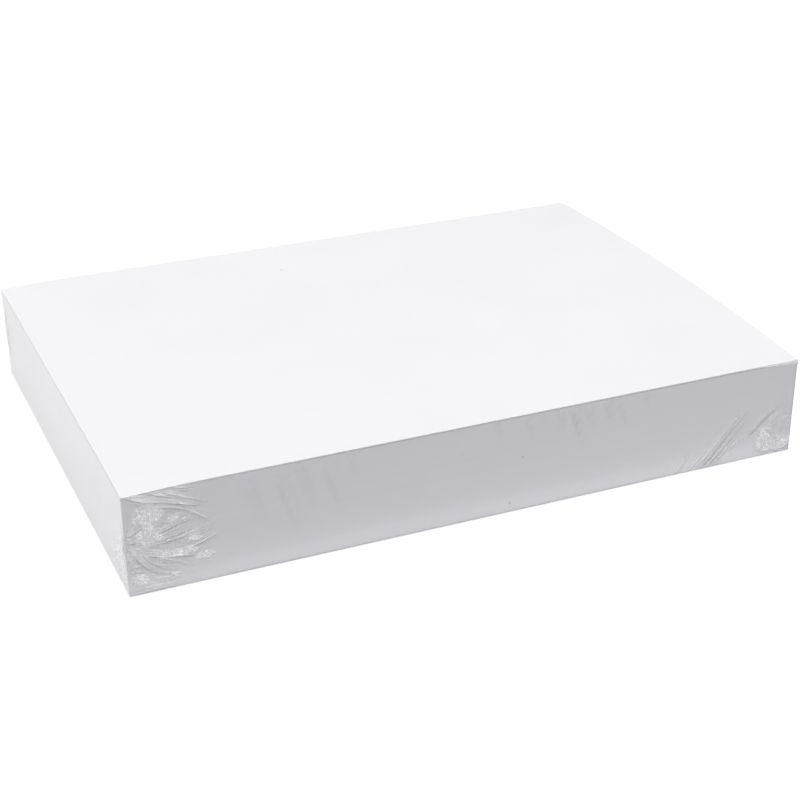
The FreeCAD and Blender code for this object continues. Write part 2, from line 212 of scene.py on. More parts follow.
class Fold:
    """A crease of the film: a path over the wall in mm (across, height), the width of its
    flanks, how proud it stands, how far its crest leans to one side (-1 to 1), how sharp it
    is, from 0 for a smooth swell to 1 for a whitened edge and more for a wider one, and how
    dark the painted shade on its shaded flank is."""

    def __init__(self, path, width, crest, lean=0.35, sharp=1.0, tone=None):
        self.path = np.array(path, float)
        self.width = width
        self.crest = crest
        self.lean = lean
        self.sharp = sharp
        self.tone = sharp if tone is None else tone

    def smooth_path(self, count=9):
        """The path as a Catmull-Rom curve through its points."""
        points = self.path
        if len(points) == 2:
            return points
        ends = np.vstack([2 * points[0] - points[1], points, 2 * points[-1] - points[-2]])
        curve = []
        for k in range(len(points) - 1):
            p0, p1, p2, p3 = ends[k:k + 4]
            for s in np.linspace(0.0, 1.0, count, endpoint=False):
                a = 2 * p1 + (p2 - p0) * s
                b = (2 * p0 - 5 * p1 + 4 * p2 - p3) * s ** 2
                c = (3 * p1 - p0 - 3 * p2 + p3) * s ** 3
                curve.append((a + b + c) / 2)
        curve.append(points[-1])
        return np.array(curve)

    def field(self, across, height):
        """Relief at every point of the wall, shares of gathering, crumpling and ridge, and how
        strong the painted shade on its flanks is."""
        path = self.smooth_path()
        steps = np.linalg.norm(np.diff(path, axis=0), axis=1)
        starts = np.concatenate([[0.0], np.cumsum(steps)[:-1]]) / steps.sum()
        nearest = np.full(across.shape, UNMET)
        aside = np.zeros(across.shape)
        along = np.zeros(across.shape)
        for k, step in enumerate(steps):
            ahead = (path[k + 1] - path[k]) / step
            du = across - path[k][0]
            dv = height - path[k][1]
            s = np.clip(du * ahead[0] + dv * ahead[1], 0.0, step)
            away = np.hypot(du - s * ahead[0], dv - s * ahead[1])
            closer = away < nearest
            nearest = np.where(closer, away, nearest)
            aside = np.where(closer, np.sign(dv * ahead[0] - du * ahead[1]), aside)
            along = np.where(closer, starts[k] + s / steps.sum(), along)
        rise = np.clip(along / CREST_SHARE, 0.0, 1.0)
        fall = np.clip((1.0 - along) / (1.0 - CREST_SHARE), 0.0, 1.0)
        taper = np.minimum(rise, fall) ** TAPER_CURVE
        flank = self.width * (1.0 + self.lean * aside) * (END_WIDTH + (1.0 - END_WIDTH) * taper)
        across_share = np.clip(1.0 - nearest / np.maximum(flank, 1e-6), 0.0, 1.0)
        hard = min(self.sharp, 1.0)
        edge = np.clip(1.0 - nearest / (RIDGE_REACH * max(self.sharp, 1.0)), 0.0, 1.0)
        ridge = hard * taper * edge * min(self.crest, 1.0)
        gathered = hard * taper * across_share
        # how strong the painted shade on this fold's flanks is, set by its tone
        painted_shade_weight = np.where(across_share > 0.0, min(self.tone, 1.0), 0.0)
        return self.crest * taper * across_share ** FLANK_CURVE, gathered, 0.0, ridge, painted_shade_weight


class Crumple:
    """Film balled up over an oval patch, by its middle and its half width and height: facets
    about one cell wide that each tilt their own way, with sharp ridges between them. How
    tightly it is packed sets how closely it is netted with fine white creases."""

    def __init__(self, middle, reach, cell, crest, seed, packed=1.0):
        self.middle = middle
        self.reach = reach
        self.cell = cell
        self.crest = crest
        self.seed = seed
        self.packed = packed

    def field(self, across, height):
        choose = np.random.default_rng(SEED + self.seed)
        u = (across - self.middle[0]) / self.reach[0]
        v = (height - self.middle[1]) / self.reach[1]
        mask = np.clip(2.0 * (1.0 - np.hypot(u, v)), 0.0, 1.0)
        count = int(4 * self.reach[0] * self.reach[1] / self.cell ** 2)
        low = np.array(self.middle) - self.reach
        seeds = low + choose.random((count, 2)) * 2 * np.array(self.reach)
        lifts = choose.uniform(0.0, 1.0, count)
        tilts = choose.normal(0.0, FACET_TILT, (count, 2))
        first = np.full(across.shape, UNMET)
        second = np.full(across.shape, UNMET)
        facet = np.zeros(across.shape)
        plies = np.zeros(across.shape)
        for (su, sv), lift, (tilt_u, tilt_v) in zip(seeds, lifts, tilts):
            du = across - su
            dv = height - sv
            away = np.hypot(du, dv)
            nearer = away < first
            second = np.where(nearer, first, np.minimum(second, away))
            facet = np.where(nearer, 0.45 + (tilt_u * du + tilt_v * dv) / self.cell, facet)
            plies = np.where(nearer, lift, plies)
            first = np.where(nearer, away, first)
        ridge = np.clip(1.0 - (second - first) / (RIDGE_WIDTH * self.cell), 0.0, 1.0) ** 2
        shape = np.clip(facet, 0.0, 1.0) + FACET_RIDGE * ridge
        gathered = mask * (0.25 + 0.75 * plies)
        ridged = 0.5 * mask * ridge * (0.3 + 0.7 * plies)
        # the last share lets the painted shade reach its facets at full strength
        return self.crest * mask * shape, gathered, self.packed * mask, ridged, np.sign(mask)


def dark_and_light(out, across, height):
    """How strongly the relief faces down and to the right, which shades it, and how strongly
    up and to the left, which lights it, from 0 to 1. The faintest slopes count as plain."""
    plain = 0.02
    fall = np.gradient(out, axis=0) / np.maximum(np.gradient(height, axis=0), 1e-3)
    slip = np.gradient(out, axis=1) / np.maximum(np.gradient(across, axis=1), 1e-3)
    dark = 1.5 * np.maximum(fall, 0.0) + 0.6 * np.maximum(-slip, 0.0) - plain
    light = 1.3 * np.maximum(-fall, 0.0) + 0.5 * np.maximum(slip, 0.0) - plain
    return np.clip(dark, 0.0, 1.0), np.clip(light, 0.0, 1.0)


def relief(gather, across, height):
    """The film's height off the wall, how gathered, crumpled and ridged it is, and how
    strong its painted shade is.
    """
    out = np.zeros(across.shape)
    traits = [np.zeros(across.shape) for _ in range(4)]
    for crease in gather:
        lift, *shares = crease.field(across, height)
        out = np.maximum(out, lift) + OVERLAP * np.minimum(out, lift)
        traits = [np.maximum(trait, share) for trait, share in zip(traits, shares)]
    return (out, *traits)


def echoes(folds, seed, crest=1.0, sharp=1.0):
    """Fine creases that run beside the main folds, as film does where it is pulled tight."""
    choose = np.random.default_rng(SEED + seed)
    extra = []
    for crease in folds:
        for side in (-1.0, 1.0):
            away = side * crease.width * choose.uniform(0.7, 1.3)
            ahead = crease.path[-1] - crease.path[0]
            ahead = ahead / np.hypot(*ahead)
            shift = np.array([-ahead[1], ahead[0]]) * away
            slip = ahead * choose.uniform(-3.0, 3.0)
            path = crease.path + shift + slip
            path[:, 1] = np.clip(path[:, 1], GATHER_MARGIN, STACK_HEIGHT - 0.6)
            path[:, 0] = np.maximum(path[:, 0], 0.6)
            proud = crest * choose.uniform(0.2, 0.45)
            extra.append(Fold(path, choose.uniform(0.6, 0.9), proud, 0.0, sharp))
    return extra


def streaks(focus, spread, reach, count, seed):
    """Short fine creases that point away from where the film was gathered."""
    choose = np.random.default_rng(SEED + seed)
    creases = []
    for _ in range(count):
        angle = math.radians(choose.uniform(*spread))
        start = choose.uniform(0.06, 0.7) * reach
        end = min(start + choose.uniform(0.15, 0.4) * reach, reach)
        ahead = np.array([math.cos(angle), math.sin(angle)])
        aside = np.array([-ahead[1], ahead[0]]) * choose.uniform(-0.8, 0.8)
        path = np.array([focus + ahead * start, focus + ahead * end + aside])
        path[:, 1] = np.clip(path[:, 1], GATHER_MARGIN, STACK_HEIGHT - 0.6)
        path[:, 0] = np.maximum(path[:, 0], 0.5)
        creases.append(Fold(path, choose.uniform(0.55, 1.0), choose.uniform(0.18, 0.42), 0.0))
    return creases


# The near left-hand gather. Long folds fall from the top corner, a fan spreads from the end of
# the seal, a broad pleat drops to the foot, and the film is balled up between them.
NEAR_LEFT = [
    Fold([(1.0, 60.6), (12.0, 56.6), (24.0, 53.2), (42.0, 47.2)], 2.5, 2.0, 0.4),
    Fold([(4.0, 57.6), (18.0, 52.6), (33.0, 47.5), (48.5, 36.0)], 2.8, 1.3, -0.4),
    Fold([(13.0, 61.0), (24.0, 57.0), (40.0, 51.8)], 2.0, 0.9, 0.3),
    Fold([(20.4, 60.6), (32.0, 55.4), (47.0, 48.0)], 2.0, 0.9, 0.2),
    Fold([(26.8, 61.4), (36.0, 59.6), (45.0, 60.4)], 1.2, 0.5, 0.3),
    Fold([(12.5, 31.6), (24.0, 32.4), (38.2, 34.9)], 2.1, 1.4, 0.5),
    Fold([(13.0, 29.6), (28.0, 31.0), (48.0, 35.8)], 1.9, 1.0, -0.5),
    Fold([(30.0, 23.4), (40.0, 25.0), (50.0, 28.6)], 2.2, 1.0, -0.4),
    Fold([(31.0, 28.4), (40.0, 30.0), (47.8, 33.2)], 1.8, 0.8, 0.4),
    Fold([(18.0, 35.8), (27.0, 38.8), (37.6, 41.2)], 2.1, 1.0, 0.4),
    Fold([(21.0, 40.0), (30.0, 43.6), (44.0, 43.4)], 2.0, 0.8, 0.3),
    Fold([(9.0, 24.4), (20.0, 21.4), (30.0, 19.4), (41.0, 16.4)], 3.2, 1.7, 0.3),
    Fold([(14.0, 22.6), (24.0, 18.2), (36.6, 10.9)], 2.2, 1.2, -0.5),
    Fold([(11.5, 20.6), (17.0, 17.0), (23.4, 14.0)], 1.8, 1.0, -0.4),
    Fold([(7.0, 27.0), (12.0, 20.0), (19.0, 14.4), (27.4, 9.8)], 2.6, 1.3, 0.2, 0.4),
    Fold([(0.4, 31.6), (6.6, 20.8), (14.5, 12.4), (25.4, 8.4)], 3.2, 1.4, 0.5, 0.1),
    Fold([(21.0, 10.4), (25.4, 9.2), (29.6, 8.6)], 1.2, 1.1, 0.3, 2.0, 0.2),
    Fold([(26.0, 53.4), (32.6, 50.8), (40.6, 47.2)], 1.2, 1.3, 0.5, 2.0, 0.2),
    Fold([(0.2, 36.4), (3.6, 35.8), (7.6, 38.0)], 1.3, 1.0, 0.3, 1.8, 0.2),
    Fold([(0.2, 35.4), (3.4, 34.6), (8.0, 33.8)], 1.0, 0.5, 0.5, 1.8, 0.0),
    Fold([(8.0, 52.0), (13.1, 50.4), (20.4, 46.4)], 1.0, 0.7, 0.3, 1.4, 0.2),
    Fold([(7.8, 57.0), (8.4, 54.6), (9.6, 52.4)], 0.9, 0.7, 0.3, 1.2, 0.2),
    Fold([(9.0, 41.0), (14.0, 39.4), (21.0, 36.8)], 1.0, 0.8, 0.3, 1.6, 0.2),
    Fold([(7.4, 38.6), (8.6, 33.0), (11.1, 28.7), (13.4, 24.8)], 1.0, 0.8, 0.3, 1.5, 0.2),
    Fold([(0.2, 37.4), (5.0, 39.2), (11.4, 42.4)], 2.0, 1.3, 0.3),
    Fold([(0.8, 33.0), (7.0, 33.0), (13.0, 31.6)], 1.8, 1.0, 0.3),
    Fold([(0.8, 29.6), (6.0, 28.8), (12.0, 27.4)], 1.2, 0.6, -0.3),
    Fold([(0.8, 26.4), (5.0, 26.0), (9.6, 24.0)], 1.2, 0.9, 0.4),
    Fold([(1.0, 23.2), (5.0, 22.6), (9.0, 20.8)], 1.2, 0.9, 0.4),
    Fold([(0.8, 18.8), (5.0, 17.9), (9.6, 15.8)], 1.2, 1.0, 0.4),
    Fold([(1.2, 15.4), (6.0, 14.6), (10.4, 13.0)], 1.2, 0.9, 0.4),
    Fold([(1.6, 11.4), (6.0, 10.6), (12.0, 6.8)], 1.9, 1.3, 0.3),
    Fold([(2.5, 5.4), (12.0, 5.2), (25.4, 4.1)], 1.2, 0.35, -0.3, 0.2, 0.8),
    Fold([(3.0, 3.0), (16.0, 3.2), (30.0, 2.2)], 1.1, 0.35, -0.3, 0.2, 0.8),
    Fold([(14.0, 8.0), (26.0, 7.0), (41.0, 8.6)], 1.2, 0.35, -0.3, 0.1, 0.8),
    Crumple((13.5, 47.5), (10.5, 8.5), 1.3, 0.8, seed=1),
    Crumple((13.0, 34.5), (8.0, 7.0), 1.8, 1.1, seed=2),
    Crumple((26.8, 42.6), (4.5, 3.0), 1.2, 0.9, seed=3),
    Crumple((38.0, 28.4), (5.0, 2.2), 1.1, 0.8, seed=4),
    Crumple((42.5, 16.6), (7.0, 2.8), 1.2, 0.8, seed=5),
    Crumple((6.5, 9.5), (5.5, 4.0), 1.3, 0.5, seed=6),
    Crumple((28.0, 21.5), (14.0, 3.0), 1.4, 0.7, seed=7),
]
NEAR_LEFT += echoes([crease for crease in NEAR_LEFT if isinstance(crease, Fold)], seed=31)
NEAR_LEFT += streaks(np.array([-2.0, 35.0]), (-62.0, 30.0), 46.0, 60, seed=32)
NEAR_LEFT += streaks(np.array([-14.0, 30.0]), (-34.0, 10.0), 34.0, 22, seed=34)

# The near right-hand gather, measured from the right-hand corner. Parallel creases climb
# towards the corner, one deep crease cuts it off, and the film is balled up at its foot.
NEAR_RIGHT = [
    Fold([(84.0, 0.4), (80.0, 4.0), (73.0, 12.0)], 1.8, 0.7, 0.4, 0.2),
    Fold([(80.5, 0.4), (77.0, 5.0), (71.5, 12.6)], 1.6, 0.6, -0.4, 0.2),
    Fold([(73.0, 0.6), (66.0, 8.0), (57.2, 17.4)], 2.4, 0.8, 0.5, 0.0),
    Fold([(69.0, 0.8), (54.0, 16.5), (36.0, 35.0)], 3.6, 1.1, 0.5, 0.0),
    Fold([(65.0, 0.4), (50.0, 17.0), (33.4, 34.2)], 2.8, 1.2, 0.2, 0.0, 0.5),
    Fold([(60.6, 0.8), (47.0, 14.6), (33.4, 28.6)], 2.8, 1.3, 0.2, 0.0, 0.5),
    Fold([(56.0, 1.2), (45.6, 12.0), (36.0, 22.0)], 2.6, 1.1, 0.2, 0.0, 0.2),
    Fold([(46.0, 9.0), (37.0, 15.0), (29.0, 19.6)], 2.4, 0.6, 0.3, 0.0),
    Fold([(31.0, 15.6), (22.0, 24.6), (10.5, 32.6)], 2.6, 1.3, -0.4, 0.0, 0.8),
    Fold([(15.3, 27.5), (16.2, 22.0), (18.0, 19.4)], 1.3, 0.8, 0.3, 1.0, 0.2),
    Fold([(11.0, 29.0), (12.0, 23.0), (13.6, 17.0)], 2.4, 0.9, -0.3, 0.1),
    Fold([(4.0, 26.2), (6.0, 19.0), (9.0, 12.4)], 2.4, 1.1, 0.3, 0.2),
    Fold([(1.4, 26.0), (1.6, 20.0), (3.2, 13.4)], 1.5, 0.7, 0.2, 0.2),
    Fold([(24.0, 18.4), (18.6, 19.5), (14.5, 16.1), (13.0, 13.4), (8.8, 11.1), (4.6, 10.7), (0.5, 10.9)],
         1.6, 1.3, 0.3, 1.0),
    Fold([(21.0, 20.0), (25.9, 15.9), (23.3, 8.1), (16.0, 4.4)], 1.4, 0.6, 0.0, 0.4),
    Fold([(26.0, 5.4), (13.0, 3.4), (0.6, 2.2)], 1.3, 0.6, 0.3, 0.6),
    Crumple((19.0, 11.0), (9.0, 9.5), 2.6, 1.0, seed=11, packed=0.4),
    Crumple((7.0, 6.5), (9.0, 6.0), 2.2, 0.9, seed=12, packed=0.4),
    Crumple((20.5, 16.0), (3.6, 4.0), 1.1, 0.8, seed=14),
    Crumple((23.4, 8.4), (2.6, 3.0), 1.1, 0.8, seed=15),
    Crumple((17.0, 4.6), (4.0, 2.6), 1.1, 0.8, seed=16),
    Crumple((3.6, 9.0), (4.8, 3.0), 1.2, 0.8, seed=17),
]
right_folds = [crease for crease in NEAR_RIGHT if isinstance(crease, Fold)]
NEAR_RIGHT += echoes(right_folds, seed=33, crest=0.3, sharp=0.0)

# Slack ripples that hang from the near top edge: where each one starts, also measured from
# the right-hand corner, how far it hangs down, its width, its crest and its lean.
for start, drop, width, crest, lean in (
    (203.0, 11.0, 3.0, 0.5, 0.4),
    (184.0, 15.0, 3.4, 0.6, -0.4),
    (174.0, 9.0, 2.6, 0.4, 0.4),
    (163.0, 16.0, 3.2, 0.6, 0.4),
    (155.0, 26.0, 3.8, 1.1, -0.5),
    (145.0, 20.0, 3.2, 0.7, 0.3),
    (133.0, 17.0, 3.4, 0.8, -0.4),
    (124.0, 22.0, 3.4, 0.6, 0.4),
    (106.0, 13.0, 3.0, 0.5, 0.4),
    (352.0, 36.0, 8.0, 0.8, 0.4),
    (336.0, 46.0, 8.0, 0.9, -0.4),
    (322.0, 32.0, 7.0, 0.7, 0.4),
    (308.0, 38.0, 7.0, 0.7, -0.4),
    (292.0, 16.0, 4.0, 0.5, 0.4),
):
    steps = [part * drop for part in (0.0, 0.5, 1.0)]
    path = [(start - RIPPLE_SLANT * step, RIPPLE_HEAD - step) for step in steps]
    NEAR_RIGHT.append(Fold(path, width, crest, lean, sharp=0.0, tone=0.8))


def plain_gather(seal_height, reach, seed, crest=1.0):
    """Folds that fan out from where the seal meets a corner, with a small crumple there."""
    choose = np.random.default_rng(SEED + seed)
    folds = []
    for spread in np.linspace(-1.0, 1.0, 11):
        angle = math.radians(spread * 62.0 + choose.uniform(-4.0, 4.0))
        length = reach * choose.uniform(0.55, 1.0)
        start = choose.uniform(0.8, 4.0)
        bow = choose.uniform(-0.06, 0.06) * length
        ahead = np.array([math.cos(angle), math.sin(angle)])
        aside = np.array([-ahead[1], ahead[0]])
        root = np.array([0.0, seal_height]) + ahead * start
        tip = np.array([0.0, seal_height]) + ahead * length
        tip[1] = np.clip(tip[1], 1.5, STACK_HEIGHT - 1.5)
        middle = (root + tip) / 2 + aside * bow
        lean = choose.choice([-0.4, 0.4])
        proud = crest * choose.uniform(0.6, 1.2)
        folds.append(Fold([root, middle, tip], choose.uniform(1.3, 2.2), proud, lean))
    heart = (reach * 0.2, seal_height)
    folds.append(Crumple(heart, (reach * 0.25, reach * 0.2), 2.2, 0.8 * crest, seed=seed))
    return folds


# ------------------------------------------------------------------ the film's six sides
class Wall:
    """One side of the pack. `across` runs along it from its left-hand corner as seen from
    outside, and `out` points away from the paper. `seal` is the seal's height at its two ends,
    and the tones weaken how strongly its gathers show, with their haze and painted light, and
    how dark their painted shade is."""

    def __init__(self, corner, ahead, outward, length, seal=None, gather_tone=1.0, crease_tone=1.0):
        self.corner = np.array(corner, float)
        self.ahead = np.array(ahead, float)
        self.outward = np.array(outward, float)
        self.length = length
        self.seal = seal
        self.gather_tone = gather_tone
        self.crease_tone = crease_tone

    def rows(self, across, count):
        """Shares of the height, as rows x columns, closer together near the top, or with rows
        that follow the seal."""
        if self.seal is None:
            lower = np.linspace(0.0, TOP_BAND, count, endpoint=False)
            shares = np.concatenate([lower, np.linspace(TOP_BAND, 1.0, TOP_ROWS)])
            return np.repeat(shares[:, None], len(across), axis=1)
        middle = np.interp(across, [0.0, self.length], self.seal) / STACK_HEIGHT
        band = 0.55 / STACK_HEIGHT
        below = max(int(count * float(middle.mean())), 6)
        above = count - below
        low = np.linspace(0.0, 1.0, below)[:, None] * (middle - band)[None, :]
        high = 1.0 - np.linspace(1.0, 0.0, above)[:, None] * (1.0 - middle - band)[None, :]
        return np.vstack([low, middle[None, :], high])

    def surface(self, across, count, relief_of):
        """Points over a stretch of the side, and at each of them how gathered, crumpled and ridged
        the film is, how dark its painted shade is and how much haze and painted light it has."""
        shares = self.rows(across, count)
        places = np.repeat(across[None, :], shares.shape[0], axis=0)
        foot = self.corner[None, None, :] + places[..., None] * self.ahead
        top = top_height(foot[..., 0], foot[..., 1]) - EDGE_CUT + FILM_GAP
        bottom = EDGE_CUT
        height = bottom + shares * (top - bottom)
        out, gathered, crumpled, ridged, painted_shade_weight = relief_of(places, height)
        dark, light = dark_and_light(out, places, height)
        # painted shade where the relief faces down and to the right, away from the light; painted light,
        # given as haze, where it faces up and to the left, with a little real haze over crumples
        creased = self.crease_tone * dark * (0.4 + 0.6 * painted_shade_weight) * (1.0 - 0.95 * crumpled)
        milky = self.gather_tone * (0.72 * light * (1.0 - 0.5 * crumpled) + 0.04 * crumpled)
        if self.seal is not None:
            line = np.interp(across, [0.0, self.length], self.seal)[None, :] / STACK_HEIGHT
            beside = np.abs(shares - line) * STACK_HEIGHT
            wobble = 0.8 + 0.2 * np.sin(places * 1.9)
            out = out + SEAL_BEAD * wobble * np.clip(1.0 - beside / SEAL_HALF_WIDTH, 0.0, 1.0)
            gathered = np.maximum(gathered, 0.06 * np.clip(1.0 - beside / 1.2, 0.0, 1.0))
        edge = np.minimum(places, self.length - places)
        hold = np.clip(edge / HOLD_REACH, 0.0, 1.0)
        hold = hold * np.clip((STACK_HEIGHT - height) / HOLD_REACH, 0.15, 1.0)
        hold = hold * np.clip(height / HOLD_REACH, 0.15, 1.0)
        out = out * (0.25 + 0.75 * hold)
        if self.seal is None:
            turn_out, turn_painted_shade, turn_milky = near_top_edge(places, top - height)
            out = out + turn_out
            milky = np.maximum(milky, turn_milky)
            # painted shade: a dark line down the right-hand end of the side and a painted contact shadow
            # along its foot
            ends = np.clip(1.0 - (self.length - places) / 0.8, 0.0, 1.0)
            painted_foot_shadow = np.clip(1.0 - height / HOLD_REACH, 0.0, 1.0)
            creased = np.maximum.reduce([creased, turn_painted_shade, 0.5 * ends, 0.35 * painted_foot_shadow])
        points = foot + (FILM_GAP + out)[..., None] * self.outward
        points[..., 2] = height
        points[..., 0] += lean_at(height)
        traits = {"gathered": gathered * self.gather_tone, "creased": creased}
        traits["crumpled"] = crumpled * self.gather_tone
        traits["ridged"] = ridged * self.gather_tone
        traits["milky"] = milky
        return points, traits


def near_top_edge(across, drop):
    """Where the film turns over the near top edge, at a depth below that edge: how far it
    stands out, how dark the painted shade under it is, standing for the doubled film and its
    shadow, and how much haze and painted light the slope carries. It is a hair proud all along,
    and over the last stretch on the right it is drawn tight into a narrow slope."""
    slope_depth = 2.1
    stretch = 42.0
    slope = slope_depth * np.clip((across - RUN_X + stretch) / stretch, 0.0, 1.0) ** 1.4
    depth = np.maximum(slope, 0.3)
    rising = np.clip(drop / depth, 0.0, 1.0)
    falling = np.clip(1.0 - (drop - depth) / 0.35, 0.0, 1.0)
    out = (0.12 + 0.6 * slope) * rising * falling
    clear_of_gather = 0.35 + 0.3 * np.clip((across - 60.0) / 90.0, 0.0, 1.0)
    # painted shade: a dark line just under the slope, for the doubled film and its shadow, weaker near
    # the gather
    tone = clear_of_gather * np.clip(1.0 - np.abs(drop - depth - 0.15) / 0.45, 0.0, 1.0)
    # haze and painted light on the slope, which faces up towards the light
    milky = 0.6 * np.clip(slope / 0.8, 0.0, 1.0) * np.clip((depth - drop) / 0.3, 0.0, 1.0)
    return out, tone, milky


HALF_X = SHEET_LENGTH / 2
HALF_Y = SHEET_WIDTH / 2
INSET = EDGE_CUT - FILM_GAP
RUN_X = SHEET_LENGTH - 2 * INSET
RUN_Y = SHEET_WIDTH - 2 * INSET
near = Wall((-HALF_X + INSET, -HALF_Y, 0), (1, 0, 0), (0, -1, 0), RUN_X)
right = Wall((HALF_X, -HALF_Y + INSET, 0), (0, 1, 0), (1, 0, 0), RUN_Y, (SEAL_RIGHT, SEAL_RIGHT))
far = Wall((HALF_X - INSET, HALF_Y, 0), (-1, 0, 0), (0, 1, 0), RUN_X, (SEAL_RIGHT, SEAL_LEFT))
left = Wall((-HALF_X, HALF_Y - INSET, 0), (0, -1, 0), (-1, 0, 0), RUN_Y, (SEAL_LEFT, SEAL_LEFT),
            gather_tone=0.7, crease_tone=0.4)


def both_ends(wall, first, last):
    """Relief over a wall from a gather at each end, each measured from its own corner."""
    def relief_of(across, height):
        at_first = relief(first, across, height)
        at_last = relief(last, wall.length - across, height)
        return tuple(np.maximum(a, b) for a, b in zip(at_first, at_last))
    return relief_of


def film_piece():
    """The whole wrap as one closed sheet. Each wall is given with the gathers at its two ends,
    how far the fine columns reach in from each end, their widths, the width of the columns
    between, and its stretches, each with its own number of rows."""
    parts = MeshParts()
    sides = []
    for wall, first, last, fine, step, coarse, rows in (
        (near, NEAR_LEFT, NEAR_RIGHT, (54.0, 88.0), (0.38, 0.42), 2.0,
         ((0.0, 54.1, 160), (54.1, RUN_X - 88.1, 40), (RUN_X - 88.1, PAST_THE_END, 132))),
        (right, plain_gather(SEAL_RIGHT, 38.0, 7), plain_gather(SEAL_RIGHT, 36.0, 6),
         (42.0, 40.0), (0.9, 0.9), 6.0, ((0.0, PAST_THE_END, 60),)),
        (far, plain_gather(SEAL_RIGHT, 44.0, 5), plain_gather(SEAL_LEFT, 46.0, 3),
         (48.0, 50.0), (0.9, 0.9), 6.0, ((0.0, PAST_THE_END, 60),)),
        (left, plain_gather(SEAL_LEFT, 34.0, 2, 0.7), plain_gather(SEAL_LEFT, 16.0, 1, 0.5),
         (38.0, 30.0), (0.7, 0.6), 6.0, ((0.0, PAST_THE_END, 80),)),
    ):
        across = graded(wall.length, fine, step, coarse)
        strips = []
        for low, high, count in rows:
            stretch = across[(across >= low) & (across < high)]
            points, traits = wall.surface(stretch, count, both_ends(wall, first, last))
            index = parts.add_points(points, **traits)
            parts.add_grid(index)
            if strips:
                parts.zip_chains(strips[-1][:, -1], index[:, 0])
            strips.append(index)
        sides.append(strips)
    xs = graded(RUN_X, (12.0, 12.0), (4.0, 4.0), 9.0) - RUN_X / 2
    ys = graded(RUN_Y, (12.0, 12.0), (4.0, 4.0), 9.0) - RUN_Y / 2
    grid_x, grid_y = np.meshgrid(xs, ys)
    top_z = top_height(grid_x, grid_y) + FILM_GAP
    top = np.stack([grid_x - STACK_LEAN / 2, grid_y, top_z], -1)
    top_index = parts.add_points(top)
    parts.add_grid(top_index)
    low = np.stack([grid_x + STACK_LEAN / 2, grid_y, np.full(top_z.shape, FILM_FOOT)], -1)
    low_index = parts.add_points(low)
    parts.add_grid(low_index[::-1])
    borders = (
        (top_index[0], low_index[0]),
        (top_index[:, -1], low_index[:, -1]),
        (top_index[-1, ::-1], low_index[-1, ::-1]),
        (top_index[::-1, 0], low_index[::-1, 0]),
    )
    for k, (strips, (top_edge, low_edge)) in enumerate(zip(sides, borders)):
        head = np.concatenate([strip[-1] for strip in strips])
        foot = np.concatenate([strip[0] for strip in strips])
        end = strips[-1][:, -1]
        following = sides[(k + 1) % 4][0][:, 0]
        parts.zip_chains(head, top_edge)
        parts.zip_chains(low_edge, foot)
        parts.zip_chains(end, following)
        parts.faces.append([int(end[-1]), int(following[-1]), int(top_edge[-1])])
        parts.faces.append([int(end[0]), int(low_edge[-1]), int(following[0])])
    piece = parts.build("film_wrap")
    face_outwards(piece)
    piece.data.shade_smooth()
    return piece


def ear_piece():
    """The tab of film left over where the seal ends at the near left-hand corner: two plies
    that spring from the corner, lie along the left-hand side and stand a little off it."""
    outline = np.array([
        (0.0, 37.3), (7.0, 34.0), (12.0, 29.9), (13.1, 21.5), (7.4, 13.8), (3.1, 9.1), (0.0, 7.5),
    ])
    rows = 40
    columns = 24
    run = np.linspace(0.0, len(outline) - 1.0, rows)
    rim = np.stack([np.interp(run, range(len(outline)), outline[:, k]) for k in (0, 1)], -1)
    root = np.stack([np.zeros(rows), np.linspace(36.6, 8.0, rows)], -1)
    share = np.linspace(0.0, 1.0, columns)[None, :, None]
    flat = root[:, None, :] * (1.0 - share) + rim[:, None, :] * share
    crumpling = [
        Fold([(12.0, 25.0), (7.0, 21.0), (1.5, 17.0)], 1.5, 0.9, 0.4),
        Fold([(9.4, 30.4), (5.0, 31.0), (0.6, 33.6)], 1.2, 0.6, -0.4),
        Fold([(8.4, 16.0), (5.0, 17.0), (1.0, 24.0)], 1.2, 0.6, 0.3),
        Crumple((5.0, 21.0), (8.0, 12.0), 2.2, 0.5, seed=21),
    ]
    out, gathered, crumpled, ridged, _ = relief(crumpling, flat[..., 0], flat[..., 1])
    off = EAR_STAND_OFF + flat[..., 0] * math.tan(math.radians(EAR_ANGLE)) + out
    low_part = np.clip((33.0 - flat[..., 1]) / 4.0, 0.0, 1.0)
    at_rim = np.clip((share[..., 0] - 0.86) / 0.08, 0.0, 1.0) * low_part
    parts = MeshParts()
    plies = []
    for ply in (0.0, EAR_PLY_GAP):
        x = -HALF_X - FILM_GAP - off - ply + lean_at(flat[..., 1])
        y = -HALF_Y + flat[..., 0]
        points = np.stack([x, y, flat[..., 1]], -1)
        # a little painted shade, some haze over the tab, and more whitening along the lower part of its
        # rim
        index = parts.add_points(points, gathered=0.2 + 0.3 * gathered, creased=0.05,
                                 crumpled=0.15 * crumpled, ridged=ridged, milky=0.12 + 0.5 * at_rim)
        parts.add_grid(index)
        plies.append(index)
    inner, outer = plies
    for side in (np.s_[0], np.s_[-1], np.s_[:, 0], np.s_[:, -1]):
        parts.add_grid(np.stack([inner[side], outer[side]]))
    piece = parts.build("film_ear")
    face_outwards(piece)
    piece.data.shade_smooth()
    return piece


